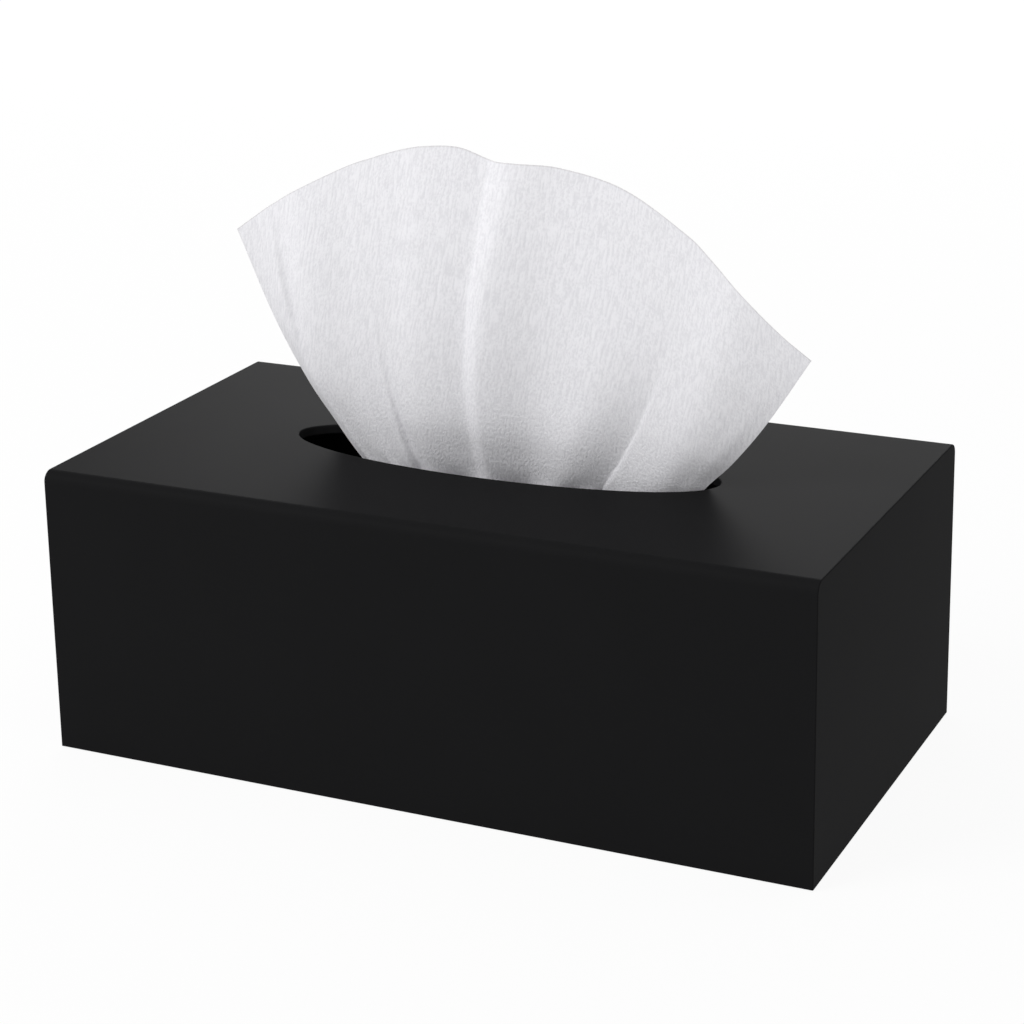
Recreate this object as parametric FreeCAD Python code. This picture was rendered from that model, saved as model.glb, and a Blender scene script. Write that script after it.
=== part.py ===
"""Tissue box with a refill drawer, in bent and glued acrylic sheet.

A sleeve bent from one sheet makes the front, the lid and the rear. A panel closes its right end, and
a drawer that carries the stack of tissues pulls out of its left end. The next tissue stands up through
an oval slot in the lid.

Millimetres. The origin is on the table under the middle of the box, X runs along the box to the right,
Y to the rear and Z up. The drawer is shut and the tissue is as pulled up.
"""

import FreeCAD
import Part
import math
import os

# Case
LENGTH = 250.0
DEPTH = 134.0
HEIGHT = 92.0
SHEET = 3.0  # thickness of the acrylic sheet
BEND_INSIDE = 0.5  # inner radius of the two long bends
EDGE_RADIUS = 0.4  # sanded edges that show

# Oval slot in the lid
SLOT_LENGTH = 143.0
SLOT_WIDTH = 42.0
SLOT_RIM_RADIUS = 0.4

# Pads under the case
PAD_DIAMETER = 10.0
PAD_THICKNESS = 1.5
PAD_PROUD = 0.5  # how far a pad stands below the walls
PAD_INSET = 16.0  # from the case's sides to a pad's middle
PAD_EDGE = 0.3

# Drawer
FRONT_GAP = 0.4  # round the drawer's front, and beside the drawer
SHUT_GAP = 0.3  # between the drawer's back and the end panel when it is shut
SIDE_HEIGHT = 22.0  # of the drawer's low walls, above its base
NOTCH_RADIUS = 12.0  # half-round finger notch in the drawer's front
TRAVEL = 210.0

# Felt strips that the drawer glides on
GLIDE_WIDTH = 10.0
GLIDE_THICKNESS = 0.8
GLIDE_INSET = 14.0  # from the drawer's side to a strip's middle
GLIDE_END = 6.0  # from the drawer base's ends to a strip's ends
GLIDE_GAP = 0.1

# Stop rails inside the case, and the ears on the drawer's back that meet them
RAIL_DEPTH = 5.0
RAIL_HEIGHT = 9.0
RAIL_GAP = 0.4  # over the drawer's walls
RAIL_END_GAP = 0.5  # behind the drawer's front
EAR_WIDTH = 7.0
EAR_RADIUS = 2.0

# Magnets in the drawer's back, and steel discs in the end panel
MAGNET_DIAMETER = 8.0
MAGNET_THICKNESS = 2.0
MAGNET_FIT = 0.1  # all round in its pocket
MAGNET_INSET = 21.6  # from the drawer's side to its middle
MAGNET_RISE = 13.0  # of its middle above the drawer's base

# Stack of interfolded tissues
STACK_END_GAP = 12.2  # from the drawer's back, so the stack is 213 mm long
STACK_SIDE_GAP = 6.6  # from the drawer's walls, so it is 108 mm deep
STACK_HEIGHT = 44.0
STACK_FOLD_RADIUS = 1.5

# The tissue that stands up through the slot
TISSUE_THICKNESS = 0.8
SOFT_GAP = 0.3  # between the tissue and the stack that it comes from
NECK_HEIGHT = 80.0  # where the sheet is drawn together, just below the slot
NECK_MIDDLE = 6.0  # from the slot's middle, because the sheet stands to the right
FOOT_SPREAD = 1.06  # of the sheet's foot on the stack, against its neck
ACROSS_STEPS = 48
UP_STEPS = 20  # above the neck
FOOT_STEPS = 6  # below it

# It is drawn through lines that run up the sheet along its soft folds, from its left edge to its right one.
# Each line has its x and y at five heights, from the neck to the free edge, and the free edge's height.
LINE_HEIGHTS = (0.0, 0.11, 0.21, 0.5, 1.0)
TISSUE_LINES = (
    ("left edge", (-46.5, 3), (-52.5, 2), (-59, 1), (-75, 0), (-91.5, -1.5), 157),
    ("left ridge", (-39, 1.5), (-45, -1.5), (-51, -3), (-63, -4.5), (-73, -4), 169),
    ("first lobe", (-32, 1), (-36, -3), (-39.5, -5), (-48, -4.5), (-50, -3), 181),
    ("second ridge", (-21, 1.5), (-22.5, -3.5), (-23.5, -6), (-26.5, -5.5), (-24, -4), 189),
    ("second slope", (-15, 2), (-16, -2), (-17, -4.5), (-18.5, -4.5), (-12, -3), 189.5),
    ("second valley", (-9, 3), (-10, -1), (-10.5, -3.5), (-11, -3.5), (-2.5, -2.5), 186.5),
    ("third ridge", (-2.5, 2), (-4, -3.5), (-4.5, -6), (-4, -6), (7, -4.5), 186.5),
    ("third valley", (7, 3.5), (8, -0.5), (8.5, -3), (12.5, -3.5), (21, -3), 185.5),
    ("fourth ridge", (19, 2.5), (23, -3), (26.5, -5.5), (36.5, -4.5), (41, -1.5), 180.5),
    ("fourth valley", (30, 4), (36, 0.5), (40.5, -2), (51.5, -3.5), (62, -1.5), 168),
    ("fifth ridge", (43, 2), (47.5, -2), (51.5, -5), (62, -5.5), (79, -3), 152),
    ("right flank", (54, 3), (57.5, 0.5), (61.5, -1.5), (75, -3), (91, -1.5), 141),
    ("right edge", (61, 4), (64.5, 2.5), (67.5, 1.5), (81, 0), (100, 0.5), 133.5),
)

# Places that follow from them
BEND_OUTSIDE = BEND_INSIDE + SHEET
LID_UNDER = HEIGHT - SHEET
WALL_INSIDE = DEPTH / 2 - SHEET
LEFT_END = -LENGTH / 2
RIGHT_END = LENGTH / 2
FLOOR_BOTTOM = PAD_THICKNESS
FLOOR_TOP = FLOOR_BOTTOM + SHEET
WALL_BOTTOM = PAD_PROUD

DRAWER_LEFT = LEFT_END + SHEET  # inner face of the drawer's front
DRAWER_RIGHT = RIGHT_END - SHEET - SHUT_GAP  # outer face of the drawer's back
DRAWER_BACK = DRAWER_RIGHT - SHEET  # inner face of the drawer's back
DRAWER_SIDE = WALL_INSIDE - FRONT_GAP
DRAWER_BOTTOM = FLOOR_TOP + GLIDE_GAP + GLIDE_THICKNESS
DRAWER_FLOOR = DRAWER_BOTTOM + SHEET
SIDE_TOP = DRAWER_FLOOR + SIDE_HEIGHT
RAIL_BOTTOM = SIDE_TOP + RAIL_GAP
EAR_TOP = RAIL_BOTTOM + RAIL_HEIGHT
MAGNET_Z = DRAWER_FLOOR + MAGNET_RISE
MAGNET_Y = DRAWER_SIDE - MAGNET_INSET
STACK_X = DRAWER_BACK - STACK_END_GAP
STACK_Y = DRAWER_SIDE - SHEET - STACK_SIDE_GAP
STACK_TOP = DRAWER_FLOOR + STACK_HEIGHT
TISSUE_FOOT = STACK_TOP + SOFT_GAP

NODES = {}


def panel(x, y, z):
    """A flat piece between two places on each axis."""
    size = [high - low for low, high in (x, y, z)]
    return Part.makeBox(*size, FreeCAD.Vector(x[0], y[0], z[0]))


def edges_in_plane(shape, axis, place):
    """The edges that lie in the plane where one axis has one value."""
    found = []
    for edge in shape.Edges:
        box = edge.BoundBox
        low, high = getattr(box, axis + "Min"), getattr(box, axis + "Max")
        if abs(low - place) < 0.001 and abs(high - place) < 0.001:
            found.append(edge)
    return found


def cut(body, tool):
    return body.cut(tool).Solids[0]


def bend(side):
    """The outer and inner arcs of a long bend, from its wall to the lid. Side is -1 at the front."""
    centre = FreeCAD.Vector(0, side * (DEPTH / 2 - BEND_OUTSIDE), HEIGHT - BEND_OUTSIDE)
    arcs = []
    for radius in (BEND_OUTSIDE, BEND_INSIDE):
        wall = centre + FreeCAD.Vector(0, side * radius, 0)
        corner = centre + FreeCAD.Vector(0, side, 1).normalize() * radius
        lid = centre + FreeCAD.Vector(0, 0, radius)
        arcs.append((wall, corner, lid))
    return arcs


def arc(start, middle, end):
    return Part.Arc(start, middle, end).toShape()


def line(start, end):
    return Part.LineSegment(start, end).toShape()


def sleeve_profile():
    """The sleeve's section: front wall, lid and rear wall, with both bends."""
    front_out, front_in = bend(-1)
    rear_out, rear_in = bend(1)
    places = (-DEPTH / 2, -WALL_INSIDE, WALL_INSIDE, DEPTH / 2)
    foot = [FreeCAD.Vector(0, y, WALL_BOTTOM) for y in places]
    return Part.Wire(
        [
            line(foot[0], front_out[0]),
            arc(*front_out),
            line(front_out[2], rear_out[2]),
            arc(*rear_out[::-1]),
            line(rear_out[0], foot[3]),
            line(foot[3], foot[2]),
            line(foot[2], rear_in[0]),
            arc(*rear_in),
            line(rear_in[2], front_in[2]),
            arc(*front_in[::-1]),
            line(front_in[0], foot[1]),
            line(foot[1], foot[0]),
        ]
    )


def oval(length, width, z, height):
    """An upright elliptical prism on the box's middle."""
    ellipse = Part.Ellipse(FreeCAD.Vector(0, 0, z), length / 2, width / 2)
    return Part.Face(Part.Wire(ellipse.toShape())).extrude(FreeCAD.Vector(0, 0, height))


def outer_end_edges(shape):
    """The sleeve's outer outline at both ends, without its inner outline and its feet."""
    found = []
    for end in (LEFT_END, RIGHT_END):
        for edge in edges_in_plane(shape, "X", end):
            place = edge.CenterOfMass
            outer = abs(place.y) > WALL_INSIDE + SHEET / 2 or place.z > LID_UNDER + SHEET / 2
            if outer and place.z > WALL_BOTTOM + SHEET / 2:
                found.append(edge)
    return found


def bent_sleeve():
    """Front, lid and rear in one sheet, bent twice, with the slot cut through the lid."""
    body = Part.Face(sleeve_profile()).extrude(FreeCAD.Vector(LENGTH, 0, 0))
    body.translate(FreeCAD.Vector(LEFT_END, 0, 0))
    body = cut(body, oval(SLOT_LENGTH, SLOT_WIDTH, LID_UNDER - SHEET, 3 * SHEET))
    rims = [e for z in (LID_UNDER, HEIGHT) for e in edges_in_plane(body, "Z", z) if e.isClosed()]
    body = body.makeFillet(SLOT_RIM_RADIUS, rims)
    return body.makeFillet(EDGE_RADIUS, outer_end_edges(body))


def disc(x, y, z, radius, thickness, axis):
    return Part.makeCylinder(radius, thickness, FreeCAD.Vector(x, y, z), axis)


def magnet_places():
    return {"front": -MAGNET_Y, "rear": MAGNET_Y}


def cut_pockets(body, x, direction):
    """Blind round pockets for the magnets or discs, cut into a panel from its face at x."""
    radius = MAGNET_DIAMETER / 2 + MAGNET_FIT
    axis = FreeCAD.Vector(direction, 0, 0)
    for y in magnet_places().values():
        body = cut(body, disc(x, y, MAGNET_Z, radius, MAGNET_THICKNESS, axis))
    return body


def right_end_panel():
    """Closes the right end, glued between the walls and under the lid, over the floor's end."""
    body = panel((RIGHT_END - SHEET, RIGHT_END), (-WALL_INSIDE, WALL_INSIDE), (WALL_BOTTOM, LID_UNDER))
    corners = [e for e in edges_in_plane(body, "Z", LID_UNDER) if e.BoundBox.XLength > SHEET / 2]
    corners = [e for e in corners if abs(abs(e.CenterOfMass.y) - WALL_INSIDE) < 0.001]
    body = body.makeFillet(BEND_INSIDE, corners)
    return cut_pockets(body, RIGHT_END - SHEET, 1)


def floor_panel():
    """The case's floor, from the left opening to the end panel."""
    return panel((LEFT_END, RIGHT_END - SHEET), (-WALL_INSIDE, WALL_INSIDE), (FLOOR_BOTTOM, FLOOR_TOP))


def non_slip_pad(x, y):
    body = disc(x, y, 0, PAD_DIAMETER / 2, PAD_THICKNESS, FreeCAD.Vector(0, 0, 1))
    return body.makeChamfer(PAD_EDGE, edges_in_plane(body, "Z", 0))


def stop_rail(side):
    """Keeps the drawer from tipping when it is out, and its end stops the drawer's ear."""
    ends = (DRAWER_LEFT + RAIL_END_GAP, DRAWER_BACK - TRAVEL)
    reach = sorted((side * (WALL_INSIDE - RAIL_DEPTH), side * WALL_INSIDE))
    return panel(ends, reach, (RAIL_BOTTOM, RAIL_BOTTOM + RAIL_HEIGHT))


def drawer_front():
    """The drawer's face, inset flush in the left opening, with a finger notch in its top edge."""
    top = LID_UNDER - FRONT_GAP
    body = panel((LEFT_END, DRAWER_LEFT), (-DRAWER_SIDE, DRAWER_SIDE), (FLOOR_TOP + FRONT_GAP, top))
    body = cut(body, disc(LEFT_END - SHEET, 0, top, NOTCH_RADIUS, 3 * SHEET, FreeCAD.Vector(1, 0, 0)))
    return body.makeFillet(EDGE_RADIUS, edges_in_plane(body, "X", LEFT_END))


def drawer_base():
    return panel((DRAWER_LEFT, DRAWER_BACK), (-DRAWER_SIDE, DRAWER_SIDE), (DRAWER_BOTTOM, DRAWER_FLOOR))


def drawer_wall(side):
    """A low long wall, glued on the drawer's base."""
    reach = sorted((side * (DRAWER_SIDE - SHEET), side * DRAWER_SIDE))
    return panel((DRAWER_LEFT, DRAWER_BACK), reach, (DRAWER_FLOOR, SIDE_TOP))


def drawer_back():
    """Low back panel with an ear at each upper corner, and the magnets' pockets in its outer face."""
    x = (DRAWER_BACK, DRAWER_RIGHT)
    body = panel(x, (-DRAWER_SIDE, DRAWER_SIDE), (DRAWER_BOTTOM, EAR_TOP))
    gap = DRAWER_SIDE - EAR_WIDTH
    body = cut(body, panel((x[0] - SHEET, x[1] + SHEET), (-gap, gap), (SIDE_TOP, EAR_TOP + SHEET)))
    tips = [e for e in body.Edges if abs(e.BoundBox.ZMin - EAR_TOP) < 0.001 and e.BoundBox.YLength < 0.001]
    roots = [
        e
        for e in body.Edges
        if abs(e.CenterOfMass.z - SIDE_TOP) < 0.001 and abs(abs(e.CenterOfMass.y) - gap) < 0.001
    ]
    body = body.makeFillet(min(EAR_RADIUS, EAR_WIDTH / 2 - 0.1), tips + roots)
    return cut_pockets(body, DRAWER_RIGHT, -1)


def glide_strip(side):
    """Felt under the drawer's base."""
    middle = side * (DRAWER_SIDE - GLIDE_INSET)
    ends = (DRAWER_LEFT + GLIDE_END, DRAWER_BACK - GLIDE_END)
    reach = (middle - GLIDE_WIDTH / 2, middle + GLIDE_WIDTH / 2)
    return panel(ends, reach, (DRAWER_BOTTOM - GLIDE_THICKNESS, DRAWER_BOTTOM))


def tissue_stack():
    """Interfolded tissues, cut square at both ends and folded along both long sides."""
    body = panel((-STACK_X, STACK_X), (-STACK_Y, STACK_Y), (DRAWER_FLOOR, STACK_TOP))
    return body.makeFillet(STACK_FOLD_RADIUS, [e for e in body.Edges if e.BoundBox.XLength > STACK_X])


def curve_value(knots, values, place):
    """A smooth curve through the values at the knots, read at one place."""
    last = len(knots) - 1
    span = 0
    while span < last - 1 and place > knots[span + 1]:
        span += 1
    width = knots[span + 1] - knots[span]
    share = (place - knots[span]) / width

    def slope(knot):
        before, after = max(knot - 1, 0), min(knot + 1, last)
        return (values[after] - values[before]) / (knots[after] - knots[before]) * width

    square, cube = share**2, share**3
    return (
        values[span] * (2 * cube - 3 * square + 1)
        + slope(span) * (cube - 2 * square + share)
        + values[span + 1] * (3 * square - 2 * cube)
        + slope(span + 1) * (cube - square)
    )


def line_places():
    """Shares of the sheet's width at which its lines lie, by their length along the free edge."""
    ends = [FreeCAD.Vector(line[-2][0], line[-2][1], line[-1]) for line in TISSUE_LINES]
    reach = [0.0]
    for before, after in zip(ends, ends[1:]):
        reach.append(reach[-1] + before.distanceToPoint(after))
    return [length / reach[-1] for length in reach]


def sheet_point(places, across, up):
    """A point of the sheet from its neck up, with across and up from 0 to 1."""
    spots = []
    for axis in (0, 1):
        along = [curve_value(LINE_HEIGHTS, [place[axis] for place in line[1:-1]], up) for line in TISSUE_LINES]
        spots.append(curve_value(places, along, across))
    top = curve_value(places, [line[-1] for line in TISSUE_LINES], across)
    return FreeCAD.Vector(spots[0], spots[1], NECK_HEIGHT + up * (top - NECK_HEIGHT))


def raised_tissue():
    """The tissue in use: drawn together below the slot, fanning out above it, and resting on the stack."""
    places = line_places()
    shares = [step / ACROSS_STEPS for step in range(ACROSS_STEPS + 1)]
    neck = [sheet_point(places, across, 0) for across in shares]
    rows = []
    for step in range(FOOT_STEPS):
        rise = step / FOOT_STEPS
        spread = FOOT_SPREAD + rise * (1 - FOOT_SPREAD)
        z = TISSUE_FOOT + rise * (NECK_HEIGHT - TISSUE_FOOT)
        rows.append([FreeCAD.Vector(NECK_MIDDLE + spread * (spot.x - NECK_MIDDLE), spot.y, z) for spot in neck])
    for step in range(UP_STEPS + 1):
        rows.append([sheet_point(places, across, step / UP_STEPS) for across in shares])
    surface = Part.BSplineSurface()
    surface.interpolate(rows)
    front = surface.toShape()
    front.translate(FreeCAD.Vector(0, -TISSUE_THICKNESS / 2, 0))
    sheet = front.extrude(FreeCAD.Vector(0, TISSUE_THICKNESS, 0))
    if sheet.Volume < 0:
        sheet.reverse()
    return sheet


def build():
    NODES["bent_sleeve"] = bent_sleeve()
    NODES["right_end_panel"] = right_end_panel()
    NODES["floor_panel"] = floor_panel()
    for end, x in (("left", LEFT_END + PAD_INSET), ("right", RIGHT_END - PAD_INSET)):
        for side, y in (("front", PAD_INSET - DEPTH / 2), ("rear", DEPTH / 2 - PAD_INSET)):
            NODES[f"non_slip_pad_{side}_{end}"] = non_slip_pad(x, y)
    NODES["drawer_front"] = drawer_front()
    NODES["drawer_base"] = drawer_base()
    NODES["drawer_back"] = drawer_back()
    for name, side in (("front", -1), ("rear", 1)):
        NODES[f"stop_rail_{name}"] = stop_rail(side)
        NODES[f"drawer_wall_{name}"] = drawer_wall(side)
        NODES[f"glide_strip_{name}"] = glide_strip(side)
    radius = MAGNET_DIAMETER / 2
    for name, y in magnet_places().items():
        out = FreeCAD.Vector(1, 0, 0)
        NODES[f"drawer_magnet_{name}"] = disc(
            DRAWER_RIGHT - MAGNET_THICKNESS, y, MAGNET_Z, radius, MAGNET_THICKNESS, out
        )
        NODES[f"steel_disc_{name}"] = disc(
            RIGHT_END - SHEET, y, MAGNET_Z, radius, MAGNET_THICKNESS, out
        )
    NODES["tissue_stack"] = tissue_stack()
    NODES["raised_tissue"] = raised_tissue()


os.makedirs("parts", exist_ok=True)
build()
for node, shape in NODES.items():
    print(f"{node:28s} solids {len(shape.Solids)} valid {shape.isValid()} volume {shape.Volume:10.1f}")
    shape.exportStep(f"parts/{node}.step")
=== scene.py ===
"""Looks of the acrylic tissue box: finishes, the standing tissue, the stack in the drawer, and a studio."""

import math
from collections import Counter

import bpy
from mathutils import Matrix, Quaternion, Vector


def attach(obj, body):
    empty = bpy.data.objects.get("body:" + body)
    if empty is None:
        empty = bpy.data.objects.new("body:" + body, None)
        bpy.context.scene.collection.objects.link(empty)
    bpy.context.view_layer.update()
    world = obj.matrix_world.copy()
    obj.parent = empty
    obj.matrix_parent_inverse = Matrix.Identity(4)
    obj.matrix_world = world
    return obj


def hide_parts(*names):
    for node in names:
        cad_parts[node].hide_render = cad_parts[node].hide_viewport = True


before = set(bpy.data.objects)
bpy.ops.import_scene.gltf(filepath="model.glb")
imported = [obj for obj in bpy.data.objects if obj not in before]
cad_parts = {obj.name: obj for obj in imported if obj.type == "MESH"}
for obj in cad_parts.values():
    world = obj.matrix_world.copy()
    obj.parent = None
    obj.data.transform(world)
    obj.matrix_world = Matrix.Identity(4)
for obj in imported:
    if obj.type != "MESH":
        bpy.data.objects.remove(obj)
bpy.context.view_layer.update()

MM = 0.001  # sizes are in millimetres where nothing else is said

# Camera, with its angles in degrees
CAMERA_PLACE = (338.9, -715.7, 353.0)
CAMERA_AZIMUTH = 25.11
CAMERA_ELEVATION = 16.15
CAMERA_ROLL = -0.93
CAMERA_LENS = 94.4
CAMERA_SENSOR = 36.0
CAMERA_SHIFT = -0.15  # as a share of the picture

# Studio, with its lengths in metres
SURROUNDING_LIGHT = 0.64
LAMP_AIM = (0, 0, 0.06)
FLOOR_HALF = 6.0
FLOOR_WHITE = 0.93  # share of plain white in what is seen of the floor

# One tissue, and how much of it is drawn out of the stack
TISSUE_WIDTH = 213.0
TISSUE_PLY = 0.2  # thickness of both plies together
TISSUE_FOOT = 52.8  # height of the standing tissue's lowest line, on the stack
TAIL = 9.0  # length that lies on the stack behind that line
RAISED_LENGTH = 136.0 + TAIL
EDGE_SHADE_BAND = (0.6, 0.2)  # how far in from a cut edge its painted shade starts and is full

# Its crepe
CREPE_PITCH = 1.65  # between its fine lines
CREPE_LEAN = 0.19  # of the lines, sideways for each millimetre up
GATHERED = (85.0, 55.0)  # lengths up the sheet where its creases start and are full

# The neck, where the standing tissue is drawn together in the slot, and its pleats
NECK = 80.0  # height
NECK_MIDDLE = 6.0  # the x about which the sheet spreads below it
DROP = NECK - TISSUE_FOOT
NECK_PLEATS = 8
PLEAT_DEPTH = 3.6
PLEAT_UNEVENNESS = 0.8
PLEATS_FULL = (64.0, 68.0)  # heights between which they are full
PLEATS_END = 89.0  # height above which there are none
PLEATS_AT_FOOT = 0.15  # share of their depth that is left at the foot

# From its foot up to its neck, by shares of that height: its width as a share of the neck's, and its sway
# to the rear
SPREAD_SHARES = (0, 0.1, 0.3, 0.55, 0.8, 1)
SPREAD = (1.5, 1.25, 1.04, 0.96, 0.94, 1.0)
SWAY_SHARES = (0, 0.3, 0.6, 0.85, 1)
SWAY = (0.2, 0.6, 1.7, 1.8, 0.0)
TAIL_FLARE = 1.6  # how much further back the tail reaches at its sides, as a share of its length

# Above its neck it is drawn through lines that run up the sheet, from its left edge to its right one. Each
# has its (x, y) at six shares of the way from the neck to the free edge, and the free edge's height.
HEIGHTS = (0.0, 0.11, 0.21, 0.37, 0.62, 1.0)
FOLD_LINES = (
    ("left edge", (-46.5, 2.2), (-53.5, 1.4), (-59, 0.8), (-68, 0.3), (-80, 1.2), (-91.5, -1), 157),
    ("flap crease", (-43, 0.3), (-50.5, -0.4), (-56.5, -1.3), (-66, -2.1), (-74, -2.2), (-80, -2), 165),
    ("flap", (-41, 0.3), (-48.5, -0.8), (-54.5, -1.7), (-64.5, -2.5), (-72, -1.5), (-77.5, -2.4), 166.5),
    ("ridge 1", (-37.5, -1.1), (-43.5, -2.4), (-49, -3.3), (-56.5, -4.1), (-64.5, -4.3), (-69, -3.6), 171.5),
    ("lobe", (-34, -1.8), (-38.5, -3.4), (-42, -4.4), (-47.5, -4.5), (-52, -3.5), (-52, -3.1), 180),
    ("lobe side", (-31, -1.1), (-34.5, -3.2), (-37.5, -4.3), (-42, -4.3), (-46, -3.6), (-45.5, -3.1), 182.7),
    ("lobe edge", (-29, -1.3), (-32.5, -3.8), (-35.5, -4.9), (-40, -4.6), (-44, -3.6), (-43, -3.1), 183.5),
    ("crease", (-27, 0.2), (-30.5, -2.4), (-33.5, -3.9), (-38, -4.3), (-40.5, -3.6), (-38, -3.2), 185.3),
    ("crease side", (-25, 0), (-28, -3.3), (-31, -5.2), (-35, -4.8), (-34.5, -3.8), (-32, -3.3), 187.2),
    ("ridge 2", (-21.5, 0.4), (-23.5, -3.9), (-25, -6.1), (-27, -5.8), (-28, -4.4), (-24, -3.5), 189),
    ("slope", (-15, 1.5), (-16.5, -2.7), (-17, -5), (-18.5, -4.9), (-18.5, -4), (-12, -2.9), 189.5),
    ("valley 1", (-9, 2.4), (-10, -1.2), (-10.5, -3.6), (-11.5, -3.8), (-9.5, -3.3), (-2.5, -2.2), 186.5),
    ("valley side 1", (-6.5, 1.8), (-7.5, -2.1), (-8.5, -4.5), (-9, -5), (-7, -4.3), (0.5, -3), 186),
    ("ridge 3", (-2.5, 1.8), (-4, -3.1), (-4.5, -5.8), (-5, -6.2), (-2, -5.3), (7, -3.9), 186),
    ("valley 2", (8, 3.2), (9.5, -0.7), (10.5, -3), (12, -3.2), (15.5, -2.9), (21, -2.5), 185.5),
    ("ridge 4", (19, 2.2), (23.5, -2.9), (26.5, -5.3), (33, -5.2), (38.5, -3.3), (41, -1.4), 180.5),
    ("valley 3", (28.5, 2.9), (35, -0.7), (40.5, -2.8), (47.5, -4.1), (55, -3.7), (62, -1.4), 167.8),
    ("valley side 2", (31, 2.3), (37.5, -1.3), (43, -3.4), (50, -4.8), (59, -4.4), (69, -2), 161.7),
    ("ridge 5", (45.5, -0.6), (51, -3.7), (55.5, -5.8), (62.5, -7.2), (71, -6.1), (79, -3.3), 152.2),
    ("right flank", (55, -0.4), (59, -2.6), (63, -4.3), (71.5, -5.9), (81.5, -4.5), (91, -2.1), 141),
    ("right edge", (61, 0.3), (64.5, -1.1), (68, -2.4), (76.5, -3.6), (87, -2.9), (100, -1), 134),
)
LINE_POINTS = [line[1:-1] for line in FOLD_LINES]
LINE_TOPS = [line[-1] for line in FOLD_LINES]
ACROSS_STEPS = 250
INSIDE_STEPS = 34
UP_STEPS = 120
MIDDLE_STEP = 105  # the step across from which its crepe is laid out

# The stack
STACK_LENGTH = 212.0
STACK_DEPTH = 107.0
STACK_FOOT = 8.5
STACK_TOP = 52.4
LEAVES = 36
LEAF_THICKNESS = 1.12
LEAF_GAP = 4.0  # depth of the gap between a leaf's two edges
LEAF_ALONG_STEPS = 40
LEAF_FOLD_STEPS = 6  # round its fold
LEAF_FLAT_SHARES = (0.25, 0.5, 0.75)  # places of the points on its flat faces
LEAVES_BELOW_TOP = 0.8  # room for the next tissue
LEAF_SLIP = 0.5
LEAF_WAVE = 0.22
PILE_SEED = 4

# The next tissue, which lies on the leaves and hangs down over their front
NEXT_HANG = 5.0
NEXT_REAR_INSET = 0.4
NEXT_PROUD = 0.2  # of the stack's front
NEXT_SUNK = 0.2  # below the stack's top
NEXT_BEND = 1.2  # radius of its bend
NEXT_WAVE = 0.14
NEXT_ACROSS_STEPS = 100
NEXT_RUN_STEPS = 60
NEXT_CREPE_START = 100.0  # past the lengths at which the standing tissue is gathered


def smooth(low, high, value):
    """0 at low, 1 at high, and smooth between. Low may be the greater."""
    share = min(max((value - low) / (high - low), 0), 1)
    return share * share * (3 - 2 * share)


def spline(knots, values, place):
    """A smooth curve through the values at the knots, read at one place."""
    last = len(knots) - 1
    span = 0
    while span < last - 1 and place > knots[span + 1]:
        span += 1
    width = knots[span + 1] - knots[span]
    share = (place - knots[span]) / width

    def slope(knot):
        before, after = max(knot - 1, 0), min(knot + 1, last)
        return (values[after] - values[before]) / (knots[after] - knots[before]) * width

    square, cube = share * share, share * share * share
    return (
        values[span] * (2 * cube - 3 * square + 1)
        + slope(span) * (cube - 2 * square + share)
        + values[span + 1] * (3 * square - 2 * cube)
        + slope(span + 1) * (cube - square)
    )


def add_object(name, data):
    """Puts a mesh, a lamp or a camera in the scene."""
    added = bpy.data.objects.new(name, data)
    bpy.context.scene.collection.objects.link(added)
    return added


# ---------------------------------------------------------------- shader sums


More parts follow.
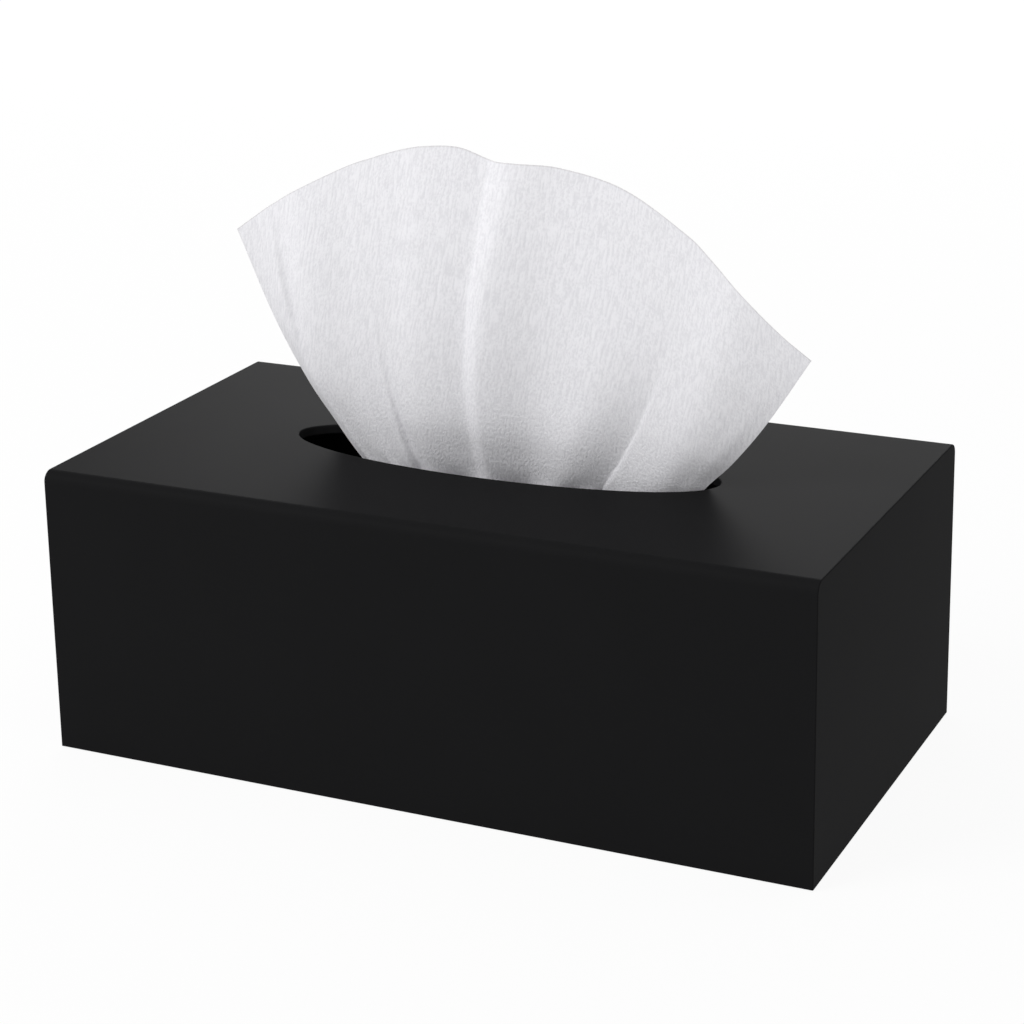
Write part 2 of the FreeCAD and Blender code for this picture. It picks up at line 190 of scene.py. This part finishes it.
class Wire:
    """A socket in a node tree, which takes part in sums as a number does."""

    def __init__(self, tree, socket=None):
        self.tree = tree
        self.socket = socket

    def node(self, kind, settings=None, values=None, result=0):
        """Adds a node, first with its settings and then with the values or links of its sockets."""
        added = self.tree.nodes.new(kind)
        for name, setting in (settings or {}).items():
            setattr(added, name, setting)
        for name, value in (values or {}).items():
            if isinstance(value, Wire):
                self.tree.links.new(value.socket, added.inputs[name])
            else:
                added.inputs[name].default_value = value
        return Wire(self.tree, added.outputs[result]) if added.outputs else None

    def maths(self, operation, first, second=0.0):
        return self.node("ShaderNodeMath", {"operation": operation}, {0: first, 1: second})

    def __add__(self, other):
        return self.maths("ADD", self, other)

    def __radd__(self, other):
        return self.maths("ADD", other, self)

    def __sub__(self, other):
        return self.maths("SUBTRACT", self, other)

    def __rsub__(self, other):
        return self.maths("SUBTRACT", other, self)

    def __mul__(self, other):
        return self.maths("MULTIPLY", self, other)

    def __rmul__(self, other):
        return self.maths("MULTIPLY", other, self)

    def size(self):
        return self.maths("ABSOLUTE", self)

    def sine(self):
        return self.maths("SINE", self)

    def remainder(self, divisor):
        return self.maths("MODULO", self, divisor)

    def greater(self, other):
        """The greater of the two."""
        return self.maths("MAXIMUM", self, other)

    def between(self, low, high):
        """0 at low, 1 at high, and smooth between. Low may be the greater."""
        return self.node(
            "ShaderNodeMapRange",
            {"interpolation_type": "SMOOTHSTEP"},
            {"Value": self, "From Min": low, "From Max": high},
        )

    def part(self, axis):
        return self.node("ShaderNodeSeparateXYZ", values={0: self}, result=axis)

    def stretched(self, x, y, z):
        return self.node("ShaderNodeVectorMath", {"operation": "MULTIPLY"}, {0: self, 1: (x, y, z)})

    def shifted(self, other):
        return self.node("ShaderNodeVectorMath", {"operation": "ADD"}, {0: self, 1: other})

    def vector(self, x=0.0, y=0.0, z=0.0):
        return self.node("ShaderNodeCombineXYZ", values={0: x, 1: y, 2: z})

    def noise(self, scale, detail, roughness=0.5, result="Fac"):
        values = {"Vector": self, "Scale": scale, "Detail": detail, "Roughness": roughness}
        return self.node("ShaderNodeTexNoise", values=values, result=result)

    def cells(self, scale, randomness):
        """The distance to the nearest of many scattered points."""
        values = {"Vector": self, "Scale": scale, "Randomness": randomness}
        return self.node("ShaderNodeTexVoronoi", values=values, result="Distance")


def blend_colours(share, first, second):
    colours = [colour if isinstance(colour, Wire) else (*colour, 1.0) for colour in (first, second)]
    values = {0: share, 6: colours[0], 7: colours[1]}
    return share.node("ShaderNodeMix", {"data_type": "RGBA"}, values, result=2)


def new_finish(name):
    """An empty material and the start of its sums."""
    material = bpy.data.materials.new(name)
    material.use_nodes = True
    material.node_tree.nodes.clear()
    return material, Wire(material.node_tree)


def object_places(start):
    """Places on the object, in millimetres."""
    return start.node("ShaderNodeTexCoord", result="Object").stretched(1 / MM, 1 / MM, 1 / MM)


def sheet_places(start, layer):
    """Places on a sheet of paper by one of its own layers, in millimetres."""
    return start.node("ShaderNodeUVMap", {"uv_map": layer}, result="UV").stretched(1 / MM, 1 / MM, 0.0)


def finish_surface(start, colour, roughness, height, depth, **plain):
    """The surface itself. Depth is how deep its relief is, in millimetres."""
    relief = {"Strength": 1.0, "Distance": depth * MM, "Height": height}
    values = {
        "Base Color": colour,
        "Roughness": roughness,
        "Normal": start.node("ShaderNodeBump", values=relief, result="Normal"),
    }
    for name, value in plain.items():
        values[name.replace("_", " ")] = value
    surface = start.node("ShaderNodeBsdfPrincipled", values=values, result="BSDF")
    start.node("ShaderNodeOutputMaterial", values={"Surface": surface})


# ---------------------------------------------------------------- finishes


def satin_acrylic():
    """Black acrylic sheet with a fine satin face."""
    material, start = new_finish("satin_black_acrylic")
    place = object_places(start)
    cloud = place.noise(0.03, 2.0)
    grain = place.noise(3.2, 2.0, 0.6)
    rubbed = place.stretched(0.02, 0.6, 0.6).noise(1.0, 3.0, 0.6).between(0.62, 0.8)
    colour = blend_colours(cloud, (0.0100, 0.0100, 0.0104), (0.0110, 0.0110, 0.0115))
    roughness = 0.43 + 0.03 * cloud + 0.02 * grain - 0.015 * rubbed
    finish_surface(start, colour, roughness, grain, depth=0.002, Specular_IOR_Level=0.0042)
    return material


def rubber():
    """Soft black rubber of the pads, slightly speckled."""
    material, start = new_finish("soft_rubber")
    speckle = object_places(start).noise(2.5, 3.0, 0.7)
    colour = blend_colours(speckle, (0.018, 0.018, 0.018), (0.035, 0.035, 0.036))
    finish_surface(start, colour, 0.75 + 0.1 * speckle, speckle, depth=0.03)
    return material


def felt():
    """Black felt of the glide strips, with its fibres along them."""
    material, start = new_finish("black_felt")
    place = object_places(start)
    ruffled = place.shifted(place.noise(0.8, 2.0, 0.5, "Color"))
    fibres = ruffled.stretched(1.0, 4.0, 4.0).noise(1.3, 4.0, 0.7)
    tufts = place.noise(0.5, 2.0)
    colour = blend_colours(fibres.between(0.35, 0.7), (0.012, 0.012, 0.013), (0.05, 0.05, 0.052))
    finish_surface(start, colour, 0.95, fibres + 0.6 * tufts, depth=0.12, Sheen_Weight=0.25)
    return material


def metal(name, dark, light, rough, stretch):
    """Bare metal with fine marks, which the stretch can draw out one way."""
    material, start = new_finish(name)
    marks = object_places(start).stretched(*stretch).noise(1.0, 3.0, 0.6)
    colour = blend_colours(marks, dark, light)
    finish_surface(start, colour, rough + 0.12 * marks, marks, depth=0.003, Metallic=1.0)
    return material


def tissue_paper():
    """Soft two-ply tissue. Its crepe runs straight up the sheet, and is deeper where it is gathered."""
    material, start = new_finish("soft_tissue")
    flat = sheet_places(start, "flat")
    grain = sheet_places(start, "grain")
    across, up, grain_up = flat.part(0), flat.part(1), grain.part(1)
    leaning = start.vector(grain.part(0) - CREPE_LEAN * grain_up, grain_up)
    ruffled = leaning.shifted(flat.noise(0.12, 2.0, 0.5, "Color").stretched(0.6, 0.6, 0.0))

    # The crepe: fine upright streaks, and rounder pebbles where the paper is worn or gathered
    columns = (ruffled.part(0) * (2 * math.pi / CREPE_PITCH)).sine()
    streaks = ruffled.stretched(1.0, 0.15, 1.0).noise(1.2, 2.0, 0.6) + 0.03 * columns
    pebbles = leaning.stretched(1.0, 0.6, 1.0).noise(1.5, 2.0, 0.55)
    gathered = grain_up.between(*GATHERED)
    worn = 0.35 + 0.2 * flat.noise(0.12, 2.0).between(0.42, 0.58) + 0.4 * gathered
    crepe = worn * pebbles + (1 - worn) * streaks
    dashes = ruffled.stretched(1.0, 0.22, 1.0).cells(0.6, 1.0).between(0.3, 0.12)
    fibres = ruffled.noise(3.0, 3.0, 0.7)

    # Painted shade along the cut edges: they are coloured a little darker, and the free edge more than the
    # sides
    starts, full = EDGE_SHADE_BAND
    half = TISSUE_WIDTH / 2
    sides = (across - half).size().between(half - starts, half - full)
    free_edge = up.between(RAISED_LENGTH - starts, RAISED_LENGTH - full)
    painted_edge_shade = (0.3 * sides).greater(free_edge)

    # Painted shade: the crepe's hollows and the dashes' pits are coloured darker, on top of their relief
    painted_crepe_shade = 0.9 * crepe.between(0.6, 0.38) + 0.3 * dashes
    colour = blend_colours(painted_crepe_shade, (0.863, 0.858, 0.889), (0.741, 0.736, 0.77))
    colour = blend_colours(0.12 * flat.noise(0.05, 2.0), colour, (0.8, 0.8, 0.78))
    colour = blend_colours(0.25 * painted_edge_shade, colour, (0.42, 0.4, 0.37))
    height = crepe * (1 + 0.7 * gathered) + 0.12 * fibres - 0.15 * dashes
    finish_surface(start, colour, 0.92, height, depth=0.15, Specular_IOR_Level=0.2, Sheen_Weight=0.08)
    return material


def folded_paper():
    """The same tissue where it lies folded in the stack, seen by its folds and its cut ends."""
    material, start = new_finish("folded_tissue")
    place = object_places(start)
    plies = place.stretched(0.06, 0.25, 4.2).noise(1.0, 3.0, 0.6)
    dashes = place.stretched(0.36, 1.0, 1.0).cells(1.0, 0.85).between(0.34, 0.1)
    fibres = place.noise(3.0, 3.0, 0.7)
    # Painted shade: the pits of the dashes and the lines between the plies are coloured darker
    painted_shade = 0.35 * dashes + 0.4 * plies.between(0.35, 0.6)
    colour = blend_colours(painted_shade, (0.86, 0.86, 0.88), (0.66, 0.66, 0.68))
    height = 0.6 * plies + 0.25 * fibres - 0.3 * dashes
    finish_surface(start, colour, 0.92, height, depth=0.12, Specular_IOR_Level=0.2, Sheen_Weight=0.08)
    return material


# ---------------------------------------------------------------- sheets of paper


def smooth_sheet(mesh):
    """Smooth faces and a crisp rim, so that the cut edge doesn't shade the faces beside it."""
    mesh.shade_smooth()
    uses = Counter(key for face in mesh.polygons for key in face.edge_keys)
    for edge in mesh.edges:
        edge.use_edge_sharp = uses[edge.key] == 1


def paper_sheet(name, rows, flat, grain, paper):
    """A sheet through rows of points, with the place of each point on the flat sheet and on its crepe."""
    count = len(rows[0])
    faces = []
    for row in range(len(rows) - 1):
        for column in range(count - 1):
            first = row * count + column
            faces.append((first, first + 1, first + count + 1, first + count))
    mesh = bpy.data.meshes.new(name)
    mesh.from_pydata([tuple(point * MM) for row in rows for point in row], [], faces)
    for layer_name, places in (("flat", flat), ("grain", grain)):
        layer = mesh.uv_layers.new(name=layer_name)
        for loop in mesh.loops:
            layer.data[loop.index].uv = places[loop.vertex_index]
    smooth_sheet(mesh)
    mesh.materials.append(paper)
    sheet = add_object(name, mesh)
    plies = sheet.modifiers.new("plies", "SOLIDIFY")
    plies.thickness = TISSUE_PLY * MM
    plies.offset = 0.0
    return sheet


# ---------------------------------------------------------------- standing tissue


def fold_line_shares():
    """Shares of the sheet's width at which the fold lines lie, by their distances along the free edge."""
    ends = [Vector((*points[-1], top)) for points, top in zip(LINE_POINTS, LINE_TOPS)]
    reach = [0.0]
    for before, after in zip(ends, ends[1:]):
        reach.append(reach[-1] + (after - before).length)
    return [distance / reach[-1] for distance in reach]


def neck_pleat(across, z):
    """How far the small pleats push the sheet to the rear. They die out above and below the neck."""
    below, above = PLEATS_FULL
    near_foot = PLEATS_AT_FOOT + (1 - PLEATS_AT_FOOT) * smooth(TISSUE_FOOT, below, z)
    depth = PLEAT_DEPTH * smooth(PLEATS_END, above, z) * near_foot
    turn = 2 * math.pi * across
    return depth * math.sin(NECK_PLEATS * turn + PLEAT_UNEVENNESS * math.sin(turn))


def fanned_row(shares, knots, up):
    """A row of the sheet before it is pleated, at a share of the way from its neck up to its free edge."""
    xs = [spline(HEIGHTS, [x for x, _ in points], up) for points in LINE_POINTS]
    ys = [spline(HEIGHTS, [y for _, y in points], up) for points in LINE_POINTS]
    row = []
    for across in knots:
        x, y, top = (spline(shares, values, across) for values in (xs, ys, LINE_TOPS))
        row.append(Vector((x, y, NECK + up * (top - NECK))))
    return row


def standing_row(shares, knots, up):
    """A row of the sheet above its neck."""
    row = fanned_row(shares, knots, up)
    for across, point in zip(knots, row):
        point.y += neck_pleat(across, point.z)
    return row


def inside_row(neck_row, knots, along):
    """A row of the sheet in its tail or below its neck, at a length along the sheet."""
    lift = max(along - TAIL, 0)
    spread = spline(SPREAD_SHARES, SPREAD, lift / DROP)
    sway = spline(SWAY_SHARES, SWAY, lift / DROP)
    z = TISSUE_FOOT + lift
    row = []
    for across, neck in zip(knots, neck_row):
        back = max(TAIL - along, 0) * (1 + TAIL_FLARE * (2 * across - 1) ** 2)
        x = NECK_MIDDLE + (neck.x - NECK_MIDDLE) * spread
        row.append(Vector((x, neck.y + sway + back + neck_pleat(across, z), z)))
    return row


def straight_grain(row, along):
    """Places along one row of the sheet for its crepe, which doesn't fan out with the folds."""
    runs = [0.0]
    for before, after in zip(row, row[1:]):
        runs.append(runs[-1] + (after - before).length)
    start = row[MIDDLE_STEP].x - runs[MIDDLE_STEP]
    rises = [max(along, point.z - TISSUE_FOOT + TAIL) for point in row]
    return [((start + run) * MM, rise * MM) for run, rise in zip(runs, rises)]


def raised_tissue(paper):
    """The tissue in use. It rests on the stack, is gathered in the slot and fans out above the lid."""
    shares = fold_line_shares()
    knots = [step / ACROSS_STEPS for step in range(ACROSS_STEPS + 1)]
    neck_row = fanned_row(shares, knots, 0.0)
    inside = TAIL + DROP
    rows, lengths = [], []
    for step in range(INSIDE_STEPS):
        lengths.append(inside * step / INSIDE_STEPS)
        rows.append(inside_row(neck_row, knots, lengths[-1]))
    for step in range(UP_STEPS + 1):
        up = step / UP_STEPS
        lengths.append(inside + up * (RAISED_LENGTH - inside))
        rows.append(standing_row(shares, knots, up))
    flat = [(across * TISSUE_WIDTH * MM, along * MM) for along in lengths for across in knots]
    grain = [place for row, along in zip(rows, lengths) for place in straight_grain(row, along)]
    piece = paper_sheet("standing_tissue", rows, flat, grain, paper)
    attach(piece, "tissue")
    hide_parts("raised_tissue")


# ---------------------------------------------------------------- stack in the drawer


def leaf_section():
    """One folded tissue's outline across the stack: a round fold at one side, two edges at the other."""
    half = STACK_DEPTH / 2
    thick = LEAF_THICKNESS / 2
    points = []
    for step in range(LEAF_FOLD_STEPS + 1):
        turn = math.pi / 2 + math.pi * step / LEAF_FOLD_STEPS
        points.append((-half + thick + thick * math.cos(turn), thick * math.sin(turn)))
    underside = [(-half + 2 * half * share, -thick) for share in LEAF_FLAT_SHARES]
    lower_edge = [(half - 0.9, -thick), (half - 0.6, -0.12)]
    gap = [(half - LEAF_GAP, 0)]
    upper_edge = [(half, 0.1), (half - 0.1, thick)]
    top = [(-half + 2 * half * share, thick) for share in reversed(LEAF_FLAT_SHARES)]
    return points + underside + lower_edge + gap + upper_edge + top


def one_leaf():
    """A folded tissue as a closed solid, lying flat about the origin."""
    section = leaf_section()
    count = len(section)
    half = STACK_LENGTH / 2
    places = [half * (2 * step / LEAF_ALONG_STEPS - 1) for step in range(LEAF_ALONG_STEPS + 1)]
    vertices = [(x * MM, y * MM, z * MM) for x in places for y, z in section]
    faces = []
    for step in range(LEAF_ALONG_STEPS):
        ring, next_ring = step * count, (step + 1) * count
        for corner in range(count):
            after = (corner + 1) % count
            faces.append((ring + corner, next_ring + corner, next_ring + after, ring + after))
    faces.append(tuple(range(count)))
    faces.append(tuple(LEAF_ALONG_STEPS * count + corner for corner in reversed(range(count))))
    mesh = bpy.data.meshes.new("folded_tissues")
    mesh.from_pydata(vertices, [], faces)
    return mesh


def pile_tree():
    """Piles leaves up, every other one turned round, with small slips and a soft wave through them all."""
    tree = bpy.data.node_groups.new("pile", "GeometryNodeTree")
    interface = tree.interface
    interface.new_socket("Leaf", in_out="INPUT", socket_type="NodeSocketGeometry")
    sockets = {}
    for name, kind in (
        ("Leaves", "NodeSocketInt"),
        ("Pitch", "NodeSocketFloat"),
        ("Foot", "NodeSocketFloat"),
        ("Slip", "NodeSocketFloat"),
        ("Wave", "NodeSocketFloat"),
        ("Paper", "NodeSocketMaterial"),
    ):
        sockets[name] = interface.new_socket(name, in_out="INPUT", socket_type=kind).identifier
    interface.new_socket("Pile", in_out="OUTPUT", socket_type="NodeSocketGeometry")
    start = Wire(tree)
    given = tree.nodes.new("NodeGroupInput")
    value = {name: Wire(tree, given.outputs[name]) for name in ("Leaf", *sockets)}

    line = start.node(
        "GeometryNodeMeshLine",
        {"mode": "OFFSET"},
        {
            "Count": value["Leaves"],
            "Start Location": start.vector(z=value["Foot"]),
            "Offset": start.vector(z=value["Pitch"]),
        },
    )
    slip = value["Slip"]
    nudge = start.node(
        "FunctionNodeRandomValue",
        {"data_type": "FLOAT_VECTOR"},
        {0: start.vector(0 - slip, 0 - slip), 1: start.vector(slip, slip), "Seed": PILE_SEED},
    )
    line = start.node("GeometryNodeSetPosition", values={"Geometry": line, "Offset": nudge})
    half_turns = start.node("GeometryNodeInputIndex").remainder(2.0)
    turn = start.vector(z=half_turns * math.pi)
    pile = start.node(
        "GeometryNodeInstanceOnPoints",
        values={"Points": line, "Instance": value["Leaf"], "Rotation": turn},
    )
    pile = start.node("GeometryNodeRealizeInstances", values={0: pile})
    place = start.node("GeometryNodeInputPosition")
    slow = place.stretched(1.0, 1.0, 6.0).noise(16.0, 2.0)
    quick = place.stretched(1.0, 1.0, 8.0).noise(60.0, 1.0)
    lift = ((slow - 0.5) * 2 + (quick - 0.5) * 0.5) * value["Wave"]
    wave = start.vector(z=lift)
    pile = start.node("GeometryNodeSetPosition", values={"Geometry": pile, "Offset": wave})
    pile = start.node("GeometryNodeSetMaterial", values={"Geometry": pile, "Material": value["Paper"]})
    start.node("NodeGroupOutput", values={0: pile})
    return tree, sockets


def folded_tissues():
    """The stack in the drawer, below the next tissue."""
    leaf = add_object("leaf", one_leaf())
    tree, sockets = pile_tree()
    pile = leaf.modifiers.new("pile", "NODES")
    pile.node_group = tree
    pitch = (STACK_TOP - LEAVES_BELOW_TOP - STACK_FOOT) / LEAVES
    for name, setting in (
        ("Leaves", LEAVES),
        ("Pitch", pitch * MM),
        ("Foot", (STACK_FOOT + pitch / 2) * MM),
        ("Slip", LEAF_SLIP * MM),
        ("Wave", LEAF_WAVE * MM),
        ("Paper", folded_paper()),
    ):
        pile[sockets[name]] = setting
    bpy.context.view_layer.update()
    piled = leaf.evaluated_get(bpy.context.evaluated_depsgraph_get())
    made = bpy.data.meshes.new_from_object(piled)
    bpy.data.objects.remove(leaf)
    stack = add_object("folded_tissues", made)
    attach(stack, "drawer")
    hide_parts("tissue_stack")


def next_point(x, run):
    """A point of the next tissue. Run is the length along it from its rear edge."""
    y = STACK_DEPTH / 2 - NEXT_REAR_INSET - run
    wave = math.sin(x / 17 + y / 23) * math.cos(x / 31 - y / 13)
    z = STACK_TOP - TISSUE_PLY - NEXT_SUNK + NEXT_WAVE * wave
    front = -STACK_DEPTH / 2 + NEXT_BEND - NEXT_PROUD
    if y < front:
        past = front - y
        quarter = NEXT_BEND * math.pi / 2
        turn = min(past, quarter) / NEXT_BEND
        y = front - NEXT_BEND * math.sin(turn)
        z += NEXT_BEND * (math.cos(turn) - 1) - max(past - quarter, 0)
    return Vector((x, y, z))


def next_tissue(paper):
    """The uppermost tissue of the stack, which lies on it and hangs down over its front."""
    reach = STACK_DEPTH + NEXT_HANG
    runs = [reach * step / NEXT_RUN_STEPS for step in range(NEXT_RUN_STEPS + 1)]
    places = [STACK_LENGTH * (0.5 - step / NEXT_ACROSS_STEPS) for step in range(NEXT_ACROSS_STEPS + 1)]
    rows = [[next_point(x, run) for x in places] for run in runs]
    rear = RAISED_LENGTH - reach
    flat = [((x + TISSUE_WIDTH / 2) * MM, (rear + run) * MM) for run in runs for x in places]
    grain = [(x * MM, (NEXT_CREPE_START + run) * MM) for run in runs for x in places]
    piece = paper_sheet("next_tissue", rows, flat, grain, paper)
    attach(piece, "drawer")
    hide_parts("tissue_stack")


# ---------------------------------------------------------------- studio


def camera():
    """The camera, aimed by its azimuth, elevation and roll."""
    data = bpy.data.cameras.new("camera")
    data.lens = CAMERA_LENS
    data.sensor_width = CAMERA_SENSOR
    data.shift_y = CAMERA_SHIFT
    data.clip_start, data.clip_end = 0.01, 50.0
    turn, rise = math.radians(CAMERA_AZIMUTH), math.radians(CAMERA_ELEVATION)
    back = Vector((math.sin(turn) * math.cos(rise), -math.cos(turn) * math.cos(rise), math.sin(rise)))
    roll = Quaternion((0, 0, 1), math.radians(CAMERA_ROLL))
    added = add_object("camera", data)
    added.rotation_mode = "QUATERNION"
    added.rotation_quaternion = (-back).to_track_quat("-Z", "Y") @ roll
    added.location = Vector(CAMERA_PLACE) * MM
    bpy.context.scene.camera = added


def softbox(name, place, size, watts):
    """A soft lamp that isn't seen itself. Its place and size are in metres."""
    data = bpy.data.lights.new(name, "AREA")
    data.shape = "RECTANGLE"
    data.size, data.size_y = size
    data.energy = watts
    lamp = add_object(name, data)
    lamp.location = place
    lamp.rotation_mode = "QUATERNION"
    lamp.rotation_quaternion = (Vector(LAMP_AIM) - Vector(place)).to_track_quat("-Z", "Y")
    lamp.visible_camera = False


def seen_directly(start):
    """1 for rays that see the background itself or its reflection, and 0 for the light that it gives."""
    seen = start.node("ShaderNodeLightPath", result="Is Camera Ray")
    for ray in ("Is Glossy Ray", "Is Transmission Ray"):
        seen = seen.greater(start.node("ShaderNodeLightPath", result=ray))
    return seen


def pale_floor():
    """A pale grey floor that is seen nearly white and keeps a faint shadow."""
    half = FLOOR_HALF
    mesh = bpy.data.meshes.new("floor")
    corners = [(-half, -half, 0), (half, -half, 0), (half, half, 0), (-half, half, 0)]
    mesh.from_pydata(corners, [], [(0, 1, 2, 3)])
    floor = add_object("floor", mesh)
    material, start = new_finish("pale_floor")
    lit = start.node("ShaderNodeBsdfDiffuse", values={"Color": (0.8, 0.8, 0.8, 1)}, result="BSDF")
    white = {"Color": (1, 1, 1, 1), "Strength": 1.0}
    glow = start.node("ShaderNodeEmission", values=white, result="Emission")
    share = FLOOR_WHITE * seen_directly(start)
    surface = start.node("ShaderNodeMixShader", values={0: share, 1: lit, 2: glow})
    start.node("ShaderNodeOutputMaterial", values={"Surface": surface})
    mesh.materials.append(material)


def surroundings():
    """Even light from all round, seen as plain white."""
    world = bpy.data.worlds.new("studio")
    world.use_nodes = True
    world.node_tree.nodes.clear()
    start = Wire(world.node_tree)

    def background(strength):
        values = {"Color": (1, 1, 1, 1), "Strength": strength}
        return start.node("ShaderNodeBackground", values=values, result="Background")

    lit, white = background(SURROUNDING_LIGHT), background(1.0)
    surface = start.node("ShaderNodeMixShader", values={0: seen_directly(start), 1: lit, 2: white})
    start.node("ShaderNodeOutputWorld", values={"Surface": surface})
    bpy.context.scene.world = world


# ---------------------------------------------------------------- the whole part

bpy.context.scene.view_settings.view_transform = "Standard"
camera()
pale_floor()
surroundings()
softbox("key", place=(-0.9, -1.1, 1.3), size=(0.9, 0.9), watts=19.4)
softbox("back", place=(-0.5, 1.95, 0.65), size=(1.7, 0.8), watts=20.0)

acrylic = satin_acrylic()
small_parts = {
    "non_slip_pad": rubber(),
    "glide_strip": felt(),
    "drawer_magnet": metal("nickel_plate", (0.55, 0.55, 0.56), (0.72, 0.72, 0.73), 0.18, (0.3, 0.3, 0.3)),
    "steel_disc": metal("bare_steel", (0.42, 0.42, 0.43), (0.58, 0.58, 0.58), 0.3, (0.2, 0.2, 3.0)),
}
for name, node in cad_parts.items():
    finish = acrylic
    for kind, small_finish in small_parts.items():
        if name.startswith(kind):
            finish = small_finish
    for slot in node.material_slots:
        slot.material = finish

paper = tissue_paper()
raised_tissue(paper)
folded_tissues()
next_tissue(paper)
